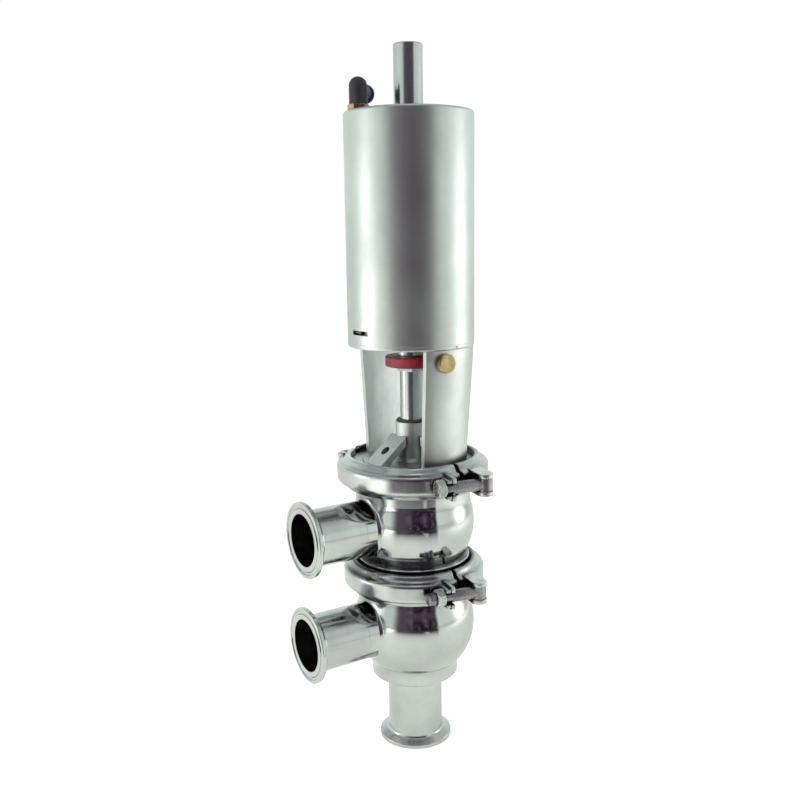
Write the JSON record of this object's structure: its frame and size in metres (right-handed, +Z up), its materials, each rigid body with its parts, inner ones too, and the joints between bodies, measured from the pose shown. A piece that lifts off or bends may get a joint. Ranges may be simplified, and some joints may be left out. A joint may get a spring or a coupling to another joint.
{
  "type": "divert seat valve",
  "caption": "Pneumatic divert seat valve: a sprung actuator on a windowed yoke moves a double plug between the seats of clamped ball bodies with ferrule ports.",
  "frame": {"origin": "centre of the bottom port's ferrule face", "axes": "+Z up along the stem, from the bottom port to the actuator; both side ports face -X"},
  "size_m": [0.1368, 0.1191, 0.473],
  "materials": {
    "polished_steel": "mirror-polished stainless steel",
    "clamp_steel": "polished stainless casting",
    "bonnet_steel": "fine blasted stainless steel",
    "yoke_steel": "satin blasted stainless casting",
    "cylinder_steel": "satin blasted stainless steel",
    "bolt_steel": "plain stainless steel",
    "spring_steel": "drawn spring steel",
    "piston_aluminium": "turned aluminium",
    "seal_rubber": "black moulded rubber",
    "bush_plastic": "sliding plastic",
    "indicator_plastic": "dark red plastic",
    "brass": "turned brass",
    "elbow_plastic": "black moulded plastic",
    "collar_plastic": "blue moulded plastic"
  },
  "bodies": {
    "root": {"bottom_ferrule": "polished_steel", "lower_body": "polished_steel", "lower_side_ferrule": "polished_steel", "seat_ring": "polished_steel", "body_gasket": "seal_rubber", "upper_body": "polished_steel", "upper_side_ferrule": "polished_steel", "bonnet_gasket": "seal_rubber", "bonnet": "bonnet_steel", "stem_seal": "seal_rubber", "stem_bush": "bush_plastic", "stem_wiper": "seal_rubber", "yoke": "yoke_steel", "vent_plug": "brass", "lip_screw": "bolt_steel", "retaining_wire": "bolt_steel", "head_o_ring": "seal_rubber", "rod_bush": "bush_plastic", "rod_seal": "seal_rubber", "actuator_cylinder": "cylinder_steel", "top_cover": "cylinder_steel", "top_rod_bush": "bush_plastic", "top_rod_seal": "seal_rubber", "return_spring": "spring_steel", "fitting_nut": "brass", "lower_clamp_nut_half": "clamp_steel", "lower_clamp_bolt_half": "clamp_steel", "lower_clamp_link": "clamp_steel", "lower_clamp_hinge_pins": "clamp_steel", "lower_clamp_pivot_pin": "clamp_steel", "upper_clamp_nut_half": "clamp_steel", "upper_clamp_bolt_half": "clamp_steel", "upper_clamp_link": "clamp_steel", "upper_clamp_hinge_pins": "clamp_steel", "upper_clamp_pivot_pin": "clamp_steel"},
    "stem": {"piston": "piston_aluminium", "piston_seal": "seal_rubber", "piston_rod": "polished_steel", "top_rod": "polished_steel", "indicator_ring": "indicator_plastic", "lock_nut": "bolt_steel", "valve_stem": "polished_steel", "valve_plug": "polished_steel", "upper_plug_seal": "seal_rubber", "lower_plug_seal": "seal_rubber"},
    "elbow": {"elbow_body": "elbow_plastic"},
    "collar": {"release_collar": "collar_plastic"},
    "lower_bolt": {"lower_clamp_bolt": "bolt_steel"},
    "lower_nut": {"lower_clamp_nut": "bolt_steel"},
    "upper_bolt": {"upper_clamp_bolt": "bolt_steel"},
    "upper_nut": {"upper_clamp_nut": "bolt_steel"}
  },
  "joints": [
    {"name": "stem_travel", "type": "slide", "parent": "root", "child": "stem", "axis": [0, 0, -1], "range_m": [0, 0.028], "stiffness_N_per_m": 6000, "springref_m": -0.02, "deforming": ["return_spring"]},
    {"name": "elbow_turn", "type": "hinge", "parent": "root", "child": "elbow", "pos_m": [-0.03348, 0.0059, 0.4436], "axis": [0, 0, 1], "continuous": true},
    {"name": "collar_press", "type": "slide", "parent": "elbow", "child": "collar", "axis": [-0.682, -0.7314, 0], "range_m": [0, 0.001], "stiffness_N_per_m": 300, "springref_m": -0.002},
    {"name": "lower_bolt_swing", "type": "hinge", "parent": "root", "child": "lower_bolt", "pos_m": [0.0129, -0.059, 0.1234], "axis": [0, 0, 1], "range_deg": [0, 105]},
    {"name": "lower_nut_run", "type": "slide", "parent": "lower_bolt", "child": "lower_nut", "axis": [-0.9848, 0.1736, 0], "range_m": [0, 0.0028]},
    {"name": "upper_bolt_swing", "type": "hinge", "parent": "root", "child": "upper_bolt", "pos_m": [0.0155, -0.062, 0.1965], "axis": [0, 0, 1], "range_deg": [0, 105]},
    {"name": "upper_nut_run", "type": "slide", "parent": "upper_bolt", "child": "upper_nut", "axis": [-0.9848, 0.1736, 0], "range_m": [0, 0.0028]}
  ],
  "couplings": [
    {"joint": "lower_nut_run", "follows": "lower_bolt_swing", "m_per_rad": 0.0015},
    {"joint": "upper_nut_run", "follows": "upper_bolt_swing", "m_per_rad": 0.0015}
  ]
}
